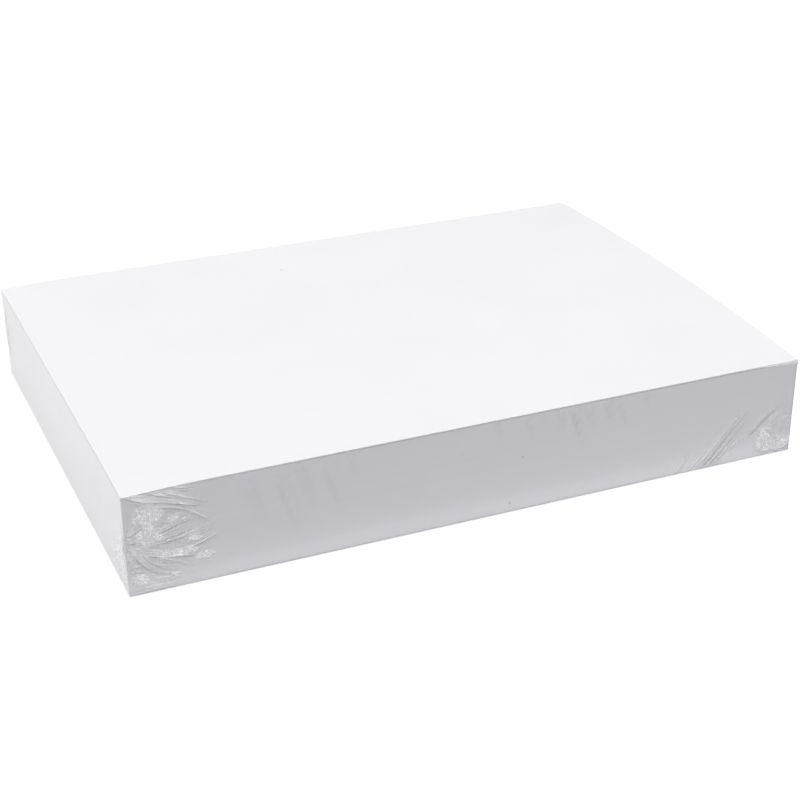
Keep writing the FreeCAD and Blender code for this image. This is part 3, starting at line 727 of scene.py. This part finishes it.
def vent_piece():
    """The raised rims of the four pin holes that let the air out while the film shrank."""
    parts = MeshParts()
    around = np.linspace(0.0, 2 * math.pi, 20, endpoint=False)
    section = np.linspace(0.0, 2 * math.pi, 7, endpoint=False)
    turn, tube = np.meshgrid(around, section, indexing="ij")
    reach = VENT_RADIUS + VENT_RIM * np.cos(tube)
    lift = VENT_RIM * np.sin(tube) + FILM_GAP
    for share, height in NEAR_VENTS:
        x = SHEET_LENGTH * share + reach * np.cos(turn)
        z = STACK_HEIGHT * height + reach * np.sin(turn)
        rims = np.stack([x, -HALF_Y - lift, z], -1)
        add_ring(parts, rims)
    x = TOP_VENT[0] + reach * np.cos(turn)
    y = TOP_VENT[1] + reach * np.sin(turn)
    add_ring(parts, np.stack([x, y, top_height(x, y) + lift], -1))
    piece = parts.build("film_vents")
    face_outwards(piece)
    piece.data.shade_smooth()
    return piece


def add_ring(parts, points):
    """A closed ring of quads from points that run round it and round its section."""
    # a little painted shade on the rims, and some haze
    index = parts.add_points(points, gathered=0.5, creased=0.15, milky=0.1)
    index = np.concatenate([index, index[:1]])
    index = np.concatenate([index, index[:, :1]], axis=1)
    parts.add_grid(index)


# ------------------------------------------------------------------ materials
class Nodes:
    """A new material's node tree, with short calls to add and join nodes."""

    def __init__(self, name):
        self.material = bpy.data.materials.new(name)
        self.material.use_nodes = True
        self.tree = self.material.node_tree
        self.tree.nodes.clear()

    def add(self, kind, settings=None, **sockets):
        node = self.tree.nodes.new(kind)
        for key, value in (settings or {}).items():
            setattr(node, key, value)
        for key, value in sockets.items():
            self.set(node, key.replace("_", " "), value)
        return node

    def set(self, node, key, value):
        socket = node.inputs[int(key)] if key.isdigit() else node.inputs[key]
        if isinstance(value, bpy.types.NodeSocket):
            self.tree.links.new(value, socket)
        else:
            socket.default_value = value

    def math(self, operation, first, second=0.0):
        node = self.tree.nodes.new("ShaderNodeMath")
        node.operation = operation
        for k, value in enumerate((first, second)):
            self.set(node, str(k), value)
        return node.outputs[0]

    def mix_shader(self, share, first, second):
        node = self.tree.nodes.new("ShaderNodeMixShader")
        self.set(node, "0", share)
        self.set(node, "1", first)
        self.set(node, "2", second)
        return node.outputs[0]

    def scale_range(self, value, low, high, to_low, to_high):
        node = self.tree.nodes.new("ShaderNodeMapRange")
        for k, item in enumerate((value, low, high, to_low, to_high)):
            self.set(node, str(k), item)
        return node.outputs[0]

    def finish(self, surface):
        output = self.tree.nodes.new("ShaderNodeOutputMaterial")
        self.tree.links.new(surface, output.inputs["Surface"])
        return self.material


def paper_material():
    """White drawing paper: a faint grain on the flat of the sheets, and on the sides the fine
    lines of their edges, some a little greyer than others."""
    nodes = Nodes("drawing_paper")
    place = nodes.add("ShaderNodeTexCoord").outputs["Object"]
    facing = nodes.add("ShaderNodeNewGeometry").outputs["Normal"]
    facing_axes = nodes.add("ShaderNodeSeparateXYZ", Vector=facing)
    flat = nodes.math("GREATER_THAN", nodes.math("ABSOLUTE", facing_axes.outputs["Z"]), 0.7)
    squashed = nodes.add("ShaderNodeMapping", Vector=place, Scale=(9.0, 9.0, 4000.0))
    edges = nodes.add("ShaderNodeTexNoise", Vector=squashed.outputs[0], Scale=1.0, Detail=3.0)
    bundles = nodes.add("ShaderNodeMapping", Vector=place, Scale=(3.0, 3.0, 420.0))
    bands = nodes.add("ShaderNodeTexNoise", Vector=bundles.outputs[0], Scale=1.0, Detail=2.0)
    half_edges = nodes.math("MULTIPLY", edges.outputs[0], 0.5)
    half_bands = nodes.math("MULTIPLY", bands.outputs[0], 0.5)
    lines = nodes.math("ADD", half_edges, half_bands)
    side_tone = nodes.scale_range(lines, 0.3, 0.7, 0.885, 0.915)
    cloud = nodes.add("ShaderNodeTexNoise", Vector=place, Scale=14.0, Detail=2.0)
    flat_tone = nodes.scale_range(cloud.outputs[0], 0.3, 0.7, 0.90, 0.92)
    tone = nodes.add("ShaderNodeMix", {"data_type": "FLOAT"})
    nodes.set(tone, "0", flat)
    nodes.set(tone, "2", side_tone)
    nodes.set(tone, "3", flat_tone)
    colour = nodes.add("ShaderNodeCombineColor")
    nodes.set(colour, "0", nodes.math("MULTIPLY", tone.outputs[0], 1.006))
    nodes.set(colour, "1", tone.outputs[0])
    nodes.set(colour, "2", nodes.math("MULTIPLY", tone.outputs[0], 1.028))
    grain = nodes.add("ShaderNodeTexNoise", Vector=place, Scale=1500.0, Detail=3.0)
    rough = nodes.add("ShaderNodeMix", {"data_type": "FLOAT"})
    nodes.set(rough, "0", flat)
    nodes.set(rough, "2", nodes.math("MULTIPLY", edges.outputs[0], 0.15))
    nodes.set(rough, "3", grain.outputs[0])
    bump = nodes.add("ShaderNodeBump", Strength=0.12, Distance=0.00004, Height=rough.outputs[0])
    shader = nodes.add("ShaderNodeBsdfPrincipled", Base_Color=colour.outputs[0], Roughness=0.85,
                       Normal=bump.outputs[0])
    shader.inputs["Specular IOR Level"].default_value = 0.25
    return nodes.finish(shader.outputs[0])


def film_material():
    """Clear shrink film: it mirrors by Fresnel, darkens what is behind it with painted shade,
    more where it stands edge on, and where it is gathered it goes hazy, finely wrinkled and
    lined with white along its sharp creases. Its haze also carries painted light where folds
    face the light."""
    nodes = Nodes("clear_film")
    place = nodes.add("ShaderNodeTexCoord").outputs["Object"]
    gathered = nodes.add("ShaderNodeAttribute", {"attribute_name": "gathered"}).outputs["Fac"]
    creased = nodes.add("ShaderNodeAttribute", {"attribute_name": "creased"}).outputs["Fac"]
    crumpled = nodes.add("ShaderNodeAttribute", {"attribute_name": "crumpled"}).outputs["Fac"]
    ridged = nodes.add("ShaderNodeAttribute", {"attribute_name": "ridged"}).outputs["Fac"]
    milky = nodes.add("ShaderNodeAttribute", {"attribute_name": "milky"}).outputs["Fac"]
    fine = nodes.add("ShaderNodeTexNoise", Vector=place, Scale=900.0, Detail=3.0)
    height = nodes.math("MULTIPLY", fine.outputs[0], gathered)
    bump = nodes.add("ShaderNodeBump", Strength=0.4, Distance=0.0003, Height=height)
    mirror = nodes.add("ShaderNodeFresnel", IOR=1.5, Normal=bump.outputs[0])
    edge_on = nodes.add("ShaderNodeLayerWeight", Blend=0.5, Normal=bump.outputs[0])
    shade = nodes.scale_range(edge_on.outputs["Facing"], 0.05, 0.75, 0.34, 0.8)
    # painted shade: what shows through is darkened where the mesh marks shade, more where the film
    # stands edge on
    passed = nodes.math("SUBTRACT", 1.0, nodes.math("MULTIPLY", shade, creased))
    tint = nodes.add("ShaderNodeCombineColor")
    for k in range(3):
        nodes.set(tint, str(k), passed)
    clear = nodes.add("ShaderNodeBsdfTransparent", Color=tint.outputs[0])

    wander = nodes.add("ShaderNodeTexNoise", Vector=place, Scale=260.0, Detail=2.0)
    off_line = nodes.add("ShaderNodeVectorMath", {"operation": "SCALE"}, Scale=0.0035)
    nodes.set(off_line, "0", wander.outputs["Color"])
    bent = nodes.add("ShaderNodeVectorMath", {"operation": "ADD"})
    nodes.set(bent, "0", place)
    nodes.set(bent, "1", off_line.outputs[0])
    net = nodes.add("ShaderNodeTexVoronoi", {"feature": "DISTANCE_TO_EDGE"},
                    Vector=bent.outputs[0], Scale=480.0)
    line = nodes.scale_range(net.outputs["Distance"], 0.0, 0.15, 1.0, 0.0)
    packed = nodes.scale_range(crumpled, 0.1, 0.5, 0.0, 1.0)
    patchy = nodes.add("ShaderNodeTexNoise", Vector=place, Scale=330.0, Detail=2.0)
    some = nodes.scale_range(patchy.outputs[0], 0.42, 0.6, 0.2, 1.0)
    netted = nodes.math("MULTIPLY", nodes.math("MULTIPLY", line, packed), some)
    most = nodes.scale_range(patchy.outputs[0], 0.38, 0.54, 0.3, 1.0)
    white_line = nodes.math("MAXIMUM", netted, nodes.math("MULTIPLY", ridged, most))
    lit = nodes.add("ShaderNodeBsdfDiffuse", Color=(0.95, 0.95, 0.96, 1.0), Normal=bump.outputs[0])
    through = nodes.add("ShaderNodeBsdfTranslucent", Color=(0.95, 0.95, 0.96, 1.0))
    haze = nodes.mix_shader(0.35, lit.outputs[0], through.outputs[0])
    # haze over gathered film, and painted light where folds face the light
    haze_and_painted_light_share = nodes.math("ADD", nodes.math("MULTIPLY", gathered, 0.06), milky)
    body = nodes.mix_shader(haze_and_painted_light_share, clear.outputs[0], haze)

    # a sharp crease is a ridge too narrow to model: part of it always faces the light above
    geometry = nodes.add("ShaderNodeNewGeometry")
    raised = nodes.add("ShaderNodeVectorMath", {"operation": "ADD"})
    nodes.set(raised, "0", geometry.outputs["Normal"])
    nodes.set(raised, "1", (0.0, 0.0, 1.1))
    ridge_normal = nodes.add("ShaderNodeVectorMath", {"operation": "NORMALIZE"})
    nodes.set(ridge_normal, "0", raised.outputs[0])
    ridge = nodes.add("ShaderNodeBsdfGlossy", Color=(1.0, 1.0, 1.0, 1.0), Roughness=0.5,
                      Normal=ridge_normal.outputs[0])
    body = nodes.mix_shader(nodes.math("MULTIPLY", white_line, 0.62), body, ridge.outputs[0])

    gloss = nodes.add("ShaderNodeBsdfGlossy", Color=(1.0, 1.0, 1.0, 1.0), Roughness=0.08,
                      Normal=bump.outputs[0])
    plies = nodes.math("MULTIPLY", gathered, 0.08)
    outside = nodes.math("SUBTRACT", 1.0, geometry.outputs["Backfacing"])
    mirrored = nodes.math("MULTIPLY", nodes.math("ADD", mirror.outputs[0], plies), outside)
    return nodes.finish(nodes.mix_shader(mirrored, body, gloss.outputs[0]))


def floor_material():
    """A pale floor that reads white, and still takes the pack's soft shadow."""
    nodes = Nodes("studio_floor")
    path = nodes.add("ShaderNodeLightPath")
    seen = nodes.math("MAXIMUM", path.outputs["Is Camera Ray"], path.outputs["Is Glossy Ray"])
    seen = nodes.math("MAXIMUM", seen, path.outputs["Is Transmission Ray"])
    lit = nodes.add("ShaderNodeBsdfDiffuse", Color=(0.45, 0.453, 0.465, 1.0))
    soft = nodes.add("ShaderNodeBsdfDiffuse", Color=(0.32, 0.32, 0.32, 1.0))
    glow = nodes.add("ShaderNodeEmission", Color=(1.0, 1.0, 1.0, 1.0), Strength=0.78)
    white = nodes.add("ShaderNodeAddShader")
    nodes.set(white, "0", soft.outputs[0])
    nodes.set(white, "1", glow.outputs[0])
    return nodes.finish(nodes.mix_shader(seen, lit.outputs[0], white.outputs[0]))


# ------------------------------------------------------------------ the stage
def add_floor():
    """A square of floor under the pack."""
    mesh = bpy.data.meshes.new("floor")
    reach = 1.25
    corners = [(-reach, -reach, 0), (reach, -reach, 0), (reach, reach, 0), (-reach, reach, 0)]
    mesh.from_pydata(corners, [], [(0, 1, 2, 3)])
    floor = bpy.data.objects.new("floor", mesh)
    bpy.context.scene.collection.objects.link(floor)
    floor.data.materials.append(floor_material())


def add_world(strength):
    """Even light all round; white where the camera, a mirror or the film looks past the floor."""
    world = bpy.data.worlds.new("studio")
    bpy.context.scene.world = world
    world.use_nodes = True
    tree = world.node_tree
    tree.nodes.clear()
    path = tree.nodes.new("ShaderNodeLightPath")
    seen = path.outputs["Is Camera Ray"]
    for kind in ("Is Glossy Ray", "Is Transmission Ray"):
        either = tree.nodes.new("ShaderNodeMath")
        either.operation = "MAXIMUM"
        tree.links.new(seen, either.inputs[0])
        tree.links.new(path.outputs[kind], either.inputs[1])
        seen = either.outputs[0]
    level = tree.nodes.new("ShaderNodeMapRange")
    tree.links.new(seen, level.inputs["Value"])
    level.inputs["To Min"].default_value = strength
    level.inputs["To Max"].default_value = 1.0
    background = tree.nodes.new("ShaderNodeBackground")
    background.inputs["Color"].default_value = (1.0, 1.0, 1.0, 1.0)
    tree.links.new(level.outputs[0], background.inputs["Strength"])
    output = tree.nodes.new("ShaderNodeOutputWorld")
    tree.links.new(background.outputs[0], output.inputs["Surface"])


def add_softbox(name, place, aim, width, height, power, colour=(1.0, 1.0, 1.0), mirrored=True):
    """A soft lamp that the camera doesn't see. The large ones aren't mirrored by the film, so
    that no side of it clips to white."""
    lamp = bpy.data.lights.new(name, "AREA")
    lamp.color = colour
    lamp.shape = "RECTANGLE"
    lamp.size = width
    lamp.size_y = height
    lamp.energy = power
    holder = bpy.data.objects.new(name, lamp)
    bpy.context.scene.collection.objects.link(holder)
    holder.location = place
    holder.rotation_euler = (Vector(aim) - Vector(place)).to_track_quat("-Z", "Y").to_euler()
    holder.visible_camera = False
    holder.visible_glossy = mirrored


def add_camera():
    """The photograph's viewing angle, from the pack's own proportions. The camera stands back
    from the stack's foot and is shifted a little sideways and up to frame it."""
    azimuth = math.radians(-23.824)
    elevation = math.radians(26.845)
    roll = math.radians(0.369)
    distance = 1.087809
    shift_side = 0.011706
    shift_rise = 0.006177
    back = Vector((
        math.sin(azimuth) * math.cos(elevation),
        -math.cos(azimuth) * math.cos(elevation),
        math.sin(elevation),
    ))
    side = Vector((0, 0, 1)).cross(back).normalized()
    rise = back.cross(side)
    turned_side = math.cos(roll) * side + math.sin(roll) * rise
    turned_rise = -math.sin(roll) * side + math.cos(roll) * rise
    lens = bpy.data.cameras.new("camera")
    lens.sensor_width = 36.0
    lens.lens = 75.44
    lens.clip_start = 0.05
    camera = bpy.data.objects.new("camera", lens)
    bpy.context.scene.collection.objects.link(camera)
    axes = Matrix((turned_side, turned_rise, back)).transposed().to_4x4()
    place = shift_side * turned_side + shift_rise * turned_rise + distance * back
    place += Vector((-STACK_LEAN / 2, 0.0, STACK_FOOT)) * MM
    camera.matrix_world = Matrix.Translation(place) @ axes
    bpy.context.scene.camera = camera


# ------------------------------------------------------------------ putting it together
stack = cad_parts["paper_stack"]
paper = paper_material()
if not stack.material_slots:
    stack.data.materials.append(paper)
for slot in stack.material_slots:
    slot.link = "OBJECT"
    slot.material = paper

clear_film = film_material()
for piece in (film_piece(), ear_piece(), vent_piece()):
    piece.data.materials.append(clear_film)
    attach(piece, "root")
    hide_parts("shrink_film")

add_floor()
add_world(0.14)
pack_middle = (0.0, 0.0, 0.05)
cool = (0.95, 0.955, 1.0)
add_softbox("overhead", (0.0, 0.0, 3.8), pack_middle, 1.6, 1.6, 81.0, mirrored=False)
add_softbox("front_top", (0.2, -0.9, 2.2), pack_middle, 0.35, 0.35, 5.0)
add_softbox("left_fill", (-2.8, 0.4, 1.35), pack_middle, 1.4, 1.4, 34.0, mirrored=False)
add_softbox("front_fill", (0.5, -2.6, 0.95), pack_middle, 2.4, 1.2, 14.4, cool, mirrored=False)
add_softbox("front_high", (0.45, -0.9, 1.1), pack_middle, 0.4, 0.06, 0.5)
add_softbox("front_low", (0.62, -1.6, 0.3), pack_middle, 0.12, 0.12, 0.3)
# a strip on the floor along the near side, which lightens the foot of that side
add_softbox("table_glow", (0.0, -0.1567, 0.0003), (0.0, -0.1567, 1.0), 0.42, 0.015, 0.006)
add_camera()
bpy.context.scene.view_settings.view_transform = "Standard"
